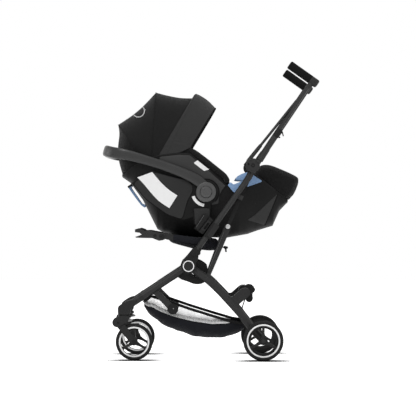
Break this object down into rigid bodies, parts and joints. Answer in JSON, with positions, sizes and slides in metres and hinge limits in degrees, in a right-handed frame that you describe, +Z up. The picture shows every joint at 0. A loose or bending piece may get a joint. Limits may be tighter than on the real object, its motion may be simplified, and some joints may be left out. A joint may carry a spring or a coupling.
{
  "type": "travel system stroller",
  "caption": "Folding pushchair frame on swivel and fixed wheels, with a storage basket, push handles and a lift-off infant seat under a hood.",
  "frame": {"origin": "the floor under the middle of the object's length and width", "axes": "+Z up; -X the way the stroller travels, +X towards the parent; the stroller's left side as it is pushed is -Y in the picture's near side"},
  "size_m": [0.7579, 0.4692, 1.0385],
  "materials": {
    "frame_paint": "satin",
    "black_plastic": "matte",
    "grey_plastic": "satin",
    "grip_foam": "matte",
    "tyre_rubber": "matte",
    "rim_plastic": "satin",
    "black_fabric": "matte",
    "grey_fabric": "matte",
    "blue_plastic": "satin"
  },
  "bodies": {
    "frame": {"push_tube_left": "frame_paint", "push_tube_right": "frame_paint", "hub_housing_left": "black_plastic", "hub_housing_right": "black_plastic", "front_leg_left": "frame_paint", "front_leg_right": "frame_paint", "front_crossbar": "frame_paint", "seat_crossbar": "frame_paint", "fold_latch": "black_plastic", "caster_housing_left": "black_plastic", "caster_housing_right": "black_plastic", "seat_rail_left": "black_plastic", "seat_rail_right": "black_plastic", "adapter_left": "black_plastic", "adapter_right": "black_plastic", "seat_base": "black_fabric", "storage_basket": "black_fabric"},
    "rear_legs": {"rear_leg_left": "frame_paint", "rear_leg_right": "frame_paint", "rear_crossbar": "black_plastic", "brake_cable": "black_plastic"},
    "brake_pedal": {"brake_pedal": "black_plastic"},
    "carrier": {"carrier_shell": "black_plastic", "seat_liner": "black_fabric", "foot_muff": "black_fabric", "side_panel_left": "black_plastic", "side_panel_right": "black_plastic", "belt_hook_left": "blue_plastic", "belt_hook_right": "blue_plastic", "rear_belt_guide": "blue_plastic", "harness": "black_fabric", "head_pad": "grey_fabric", "canopy": "black_fabric"},
    "carry_handle": {"carry_handle": "black_plastic"},
    "canopy_bow": {"canopy_visor": "grey_fabric"},
    "handle_left": {"handle_pole_left": "frame_paint", "handle_grip_left": "grip_foam", "bag_hook": "black_plastic"},
    "handle_right": {"handle_pole_right": "frame_paint", "handle_grip_right": "grip_foam"},
    "fold_strut_left": {"fold_strut_left": "frame_paint"},
    "fold_link_left": {"fold_link_left": "black_plastic"},
    "caster_left": {"caster_yoke_left": "black_plastic"},
    "swivel_lock_left": {"swivel_lock_left": "grey_plastic"},
    "suspension_arm_left": {"suspension_arm_left": "black_plastic"},
    "front_wheel_left": {"front_tyre_left": "tyre_rubber", "front_rim_left": "rim_plastic"},
    "rear_wheel_left": {"rear_tyre_left": "tyre_rubber", "rear_rim_left": "rim_plastic"},
    "handle_button_left": {"handle_button_left": "grey_plastic"},
    "fold_strut_right": {"fold_strut_right": "frame_paint"},
    "fold_link_right": {"fold_link_right": "black_plastic"},
    "caster_right": {"caster_yoke_right": "black_plastic"},
    "swivel_lock_right": {"swivel_lock_right": "grey_plastic"},
    "suspension_arm_right": {"suspension_arm_right": "black_plastic"},
    "front_wheel_right": {"front_tyre_right": "tyre_rubber", "front_rim_right": "rim_plastic"},
    "rear_wheel_right": {"rear_tyre_right": "tyre_rubber", "rear_rim_right": "rim_plastic"},
    "handle_button_right": {"handle_button_right": "grey_plastic"}
  },
  "joints": [
    {"name": "rear_fold", "type": "hinge", "parent": "frame", "child": "rear_legs", "pos_m": [-0.074, 0, 0.329], "axis": [0, 1, 0], "range_deg": [0, 50], "deforming": ["storage_basket"]},
    {"name": "brake_pedal_turn", "type": "hinge", "parent": "rear_legs", "child": "brake_pedal", "pos_m": [0.126, 0, 0.238], "axis": [0, 1, 0], "range_deg": [0, 20]},
    {"name": "carrier_lift", "type": "slide", "parent": "frame", "child": "carrier", "axis": [0, 0, 1], "range_m": [0, 0.25]},
    {"name": "carry_handle_turn", "type": "hinge", "parent": "carrier", "child": "carry_handle", "pos_m": [-0.013, 0, 0.587], "axis": [0, 1, 0], "range_deg": [-35, 86]},
    {"name": "canopy_fold", "type": "hinge", "parent": "carrier", "child": "canopy_bow", "pos_m": [-0.19, 0, 0.705], "axis": [0, -1, 0], "range_deg": [0, 50], "deforming": ["canopy"]},
    {"name": "handle_fold_left", "type": "hinge", "parent": "frame", "child": "handle_left", "pos_m": [0.1495, 0, 0.679], "axis": [0, -1, 0], "range_deg": [0, 150]},
    {"name": "handle_fold_right", "type": "hinge", "parent": "frame", "child": "handle_right", "pos_m": [0.1495, 0, 0.679], "axis": [0, -1, 0], "range_deg": [0, 150]},
    {"name": "strut_turn_left", "type": "hinge", "parent": "rear_legs", "child": "fold_strut_left", "pos_m": [-0.0043, -0.1692, 0.2972], "axis": [0, -1, 0], "range_deg": [0, 43]},
    {"name": "link_slide_left", "type": "slide", "parent": "frame", "child": "fold_link_left", "axis": [-0.3996, 0, -0.9167], "range_m": [0, 0.061]},
    {"name": "caster_swivel_left", "type": "hinge", "parent": "frame", "child": "caster_left", "pos_m": [-0.2975, -0.175, 0.1577], "axis": [0, 0, 1], "continuous": true},
    {"name": "swivel_lock_turn_left", "type": "hinge", "parent": "caster_left", "child": "swivel_lock_left", "pos_m": [-0.297, -0.175, 0.141], "axis": [0, 1, 0], "range_deg": [0, 8]},
    {"name": "suspension_left", "type": "hinge", "parent": "caster_left", "child": "suspension_arm_left", "pos_m": [-0.318, -0.175, 0.131], "axis": [0, -1, 0], "range_deg": [0, 4], "stiffness_Nm_per_rad": 25, "springref_deg": -6.88},
    {"name": "front_wheel_spin_left", "type": "hinge", "parent": "suspension_arm_left", "child": "front_wheel_left", "pos_m": [-0.2636, -0.175, 0.0645], "axis": [0, 1, 0], "continuous": true},
    {"name": "rear_wheel_spin_left", "type": "hinge", "parent": "rear_legs", "child": "rear_wheel_left", "pos_m": [0.186, -0.2125, 0.07], "axis": [0, 1, 0], "continuous": true},
    {"name": "handle_button_press_left", "type": "slide", "parent": "carry_handle", "child": "handle_button_left", "axis": [0, 1, 0], "range_m": [0, 0.0035], "stiffness_N_per_m": 600, "springref_m": -0.002},
    {"name": "strut_turn_right", "type": "hinge", "parent": "rear_legs", "child": "fold_strut_right", "pos_m": [-0.0043, 0.1692, 0.2972], "axis": [0, -1, 0], "range_deg": [0, 43]},
    {"name": "link_slide_right", "type": "slide", "parent": "frame", "child": "fold_link_right", "axis": [-0.3996, 0, -0.9167], "range_m": [0, 0.061]},
    {"name": "caster_swivel_right", "type": "hinge", "parent": "frame", "child": "caster_right", "pos_m": [-0.2975, 0.175, 0.1577], "axis": [0, 0, 1], "continuous": true},
    {"name": "swivel_lock_turn_right", "type": "hinge", "parent": "caster_right", "child": "swivel_lock_right", "pos_m": [-0.297, 0.175, 0.141], "axis": [0, 1, 0], "range_deg": [0, 8]},
    {"name": "suspension_right", "type": "hinge", "parent": "caster_right", "child": "suspension_arm_right", "pos_m": [-0.318, 0.175, 0.131], "axis": [0, -1, 0], "range_deg": [0, 4], "stiffness_Nm_per_rad": 25, "springref_deg": -6.88},
    {"name": "front_wheel_spin_right", "type": "hinge", "parent": "suspension_arm_right", "child": "front_wheel_right", "pos_m": [-0.2636, 0.175, 0.0645], "axis": [0, 1, 0], "continuous": true},
    {"name": "rear_wheel_spin_right", "type": "hinge", "parent": "rear_legs", "child": "rear_wheel_right", "pos_m": [0.186, 0.2125, 0.07], "axis": [0, 1, 0], "continuous": true},
    {"name": "handle_button_press_right", "type": "slide", "parent": "carry_handle", "child": "handle_button_right", "axis": [0, -1, 0], "range_m": [0, 0.0035], "stiffness_N_per_m": 600, "springref_m": -0.002}
  ],
  "couplings": [
    {"joint": "handle_fold_right", "follows": "handle_fold_left", "ratio": 1},
    {"joint": "strut_turn_left", "follows": "rear_fold", "ratio": 0.85},
    {"joint": "link_slide_left", "follows": "rear_fold", "m_per_rad": 0.0695},
    {"joint": "strut_turn_right", "follows": "rear_fold", "ratio": 0.85},
    {"joint": "link_slide_right", "follows": "rear_fold", "m_per_rad": 0.0695}
  ]
}
